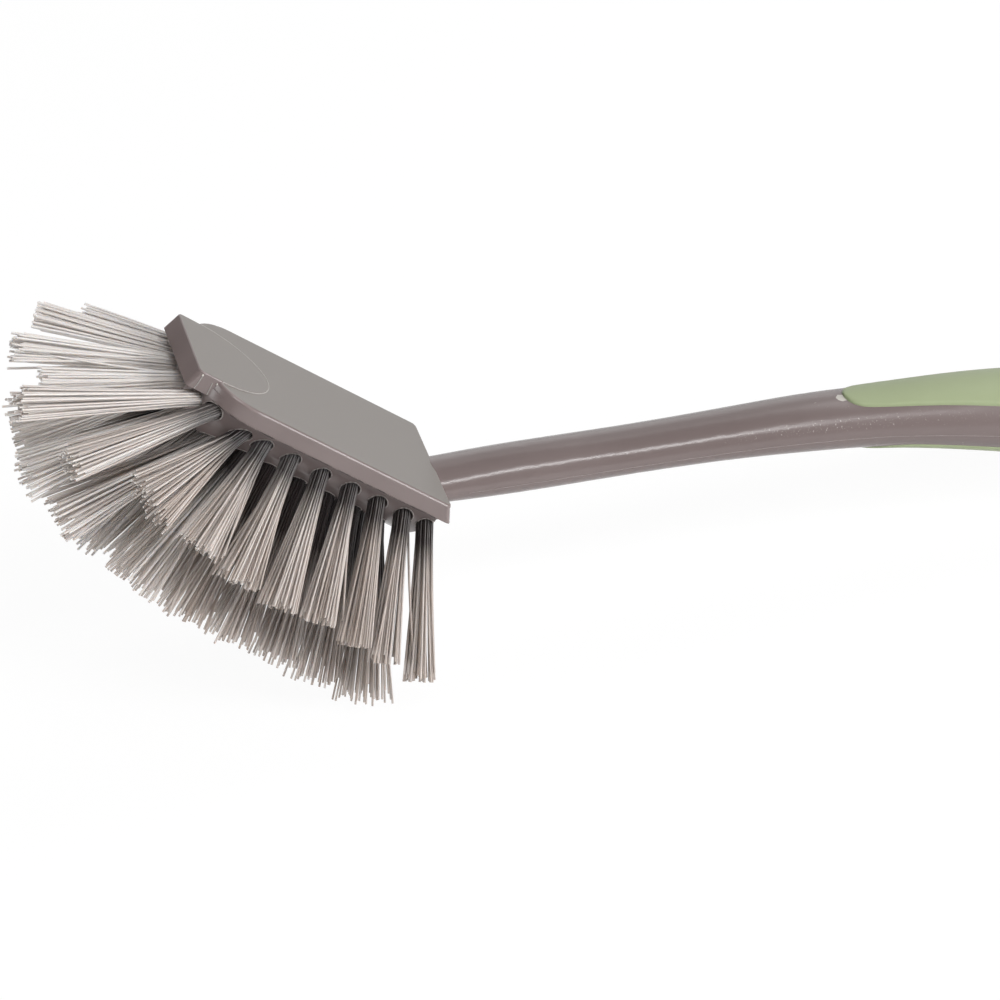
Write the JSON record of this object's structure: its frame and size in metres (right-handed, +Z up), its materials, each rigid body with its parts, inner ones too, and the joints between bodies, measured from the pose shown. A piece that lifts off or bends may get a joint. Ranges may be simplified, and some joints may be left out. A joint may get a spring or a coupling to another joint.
{
  "type": "dish brush",
  "caption": "Dish brush: flat-topped moulded head with a scraper lip, a rounded block of splayed filament tufts below, and a bowed handle with soft grip pads and a hanging hole.",
  "frame": {"origin": "on the table under the centre of the box round the whole brush, lying at rest on its tuft tips and its handle's end", "axes": "+X along the table from the head to the handle's end, +Y across the head, +Z up; the head's top face is turned nose-up about Y"},
  "size_m": [0.3002, 0.0704, 0.1014],
  "materials": {
    "moulded_polypropylene": "satin moulded, warm grey",
    "soft_grip_rubber": "matt, soft sage green",
    "filament": "translucent satin filament, light warm grey",
    "anchor_steel": "drawn flat wire"
  },
  "bodies": {
    "root": {"anchor_wires": "anchor_steel", "grip_pad_top": "soft_grip_rubber", "grip_pad_under": "soft_grip_rubber", "head_and_handle": "moulded_polypropylene", "tuft_centre_1": "filament", "tuft_centre_2": "filament", "tuft_centre_3": "filament", "tuft_centre_4": "filament", "tuft_centre_5": "filament", "tuft_centre_6": "filament", "tuft_centre_7": "filament", "tuft_left_inner_1": "filament", "tuft_left_inner_2": "filament", "tuft_left_inner_3": "filament", "tuft_left_inner_4": "filament", "tuft_left_inner_5": "filament", "tuft_left_inner_6": "filament", "tuft_left_inner_7": "filament", "tuft_left_nose_corner": "filament", "tuft_left_nose_front": "filament", "tuft_left_nose_middle": "filament", "tuft_left_nose_under": "filament", "tuft_left_outer_1": "filament", "tuft_left_outer_2": "filament", "tuft_left_outer_3": "filament", "tuft_left_outer_4": "filament", "tuft_left_outer_5": "filament", "tuft_left_outer_6": "filament", "tuft_left_outer_7": "filament", "tuft_left_outer_8": "filament", "tuft_right_inner_1": "filament", "tuft_right_inner_2": "filament", "tuft_right_inner_3": "filament", "tuft_right_inner_4": "filament", "tuft_right_inner_5": "filament", "tuft_right_inner_6": "filament", "tuft_right_inner_7": "filament", "tuft_right_nose_corner": "filament", "tuft_right_nose_front": "filament", "tuft_right_nose_middle": "filament", "tuft_right_nose_under": "filament", "tuft_right_outer_1": "filament", "tuft_right_outer_2": "filament", "tuft_right_outer_3": "filament", "tuft_right_outer_4": "filament", "tuft_right_outer_5": "filament", "tuft_right_outer_6": "filament", "tuft_right_outer_7": "filament", "tuft_right_outer_8": "filament"}
  },
  "joints": []
}
